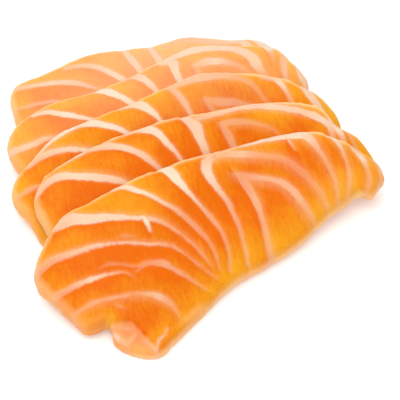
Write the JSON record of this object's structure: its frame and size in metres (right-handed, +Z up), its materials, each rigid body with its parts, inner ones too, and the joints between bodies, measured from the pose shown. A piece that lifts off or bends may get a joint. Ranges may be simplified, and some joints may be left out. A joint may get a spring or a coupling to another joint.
{
  "type": "salmon sashimi",
  "caption": "Raw salmon cut into long, thin, arched slices that lie overlapped in a fan, as sashimi is served.",
  "frame": {"origin": "middle of the underside of the whole fan, on the table", "axes": "+X along the slices to their narrow ends, +Y from the front slice to the rearmost one, +Z up"},
  "size_m": [0.0948, 0.109, 0.0157],
  "materials": {
    "slice_1": "moist raw salmon, orange with pale fat lines",
    "slice_2": "moist raw salmon, orange with pale fat lines",
    "slice_3": "moist raw salmon, orange with pale fat lines",
    "slice_4": "moist raw salmon, orange with pale fat lines",
    "slice_5": "moist raw salmon, orange with pale fat lines"
  },
  "bodies": {
    "root": {"slice_1": "slice_1", "slice_2": "slice_2", "slice_3": "slice_3", "slice_4": "slice_4", "slice_5": "slice_5"}
  },
  "joints": []
}
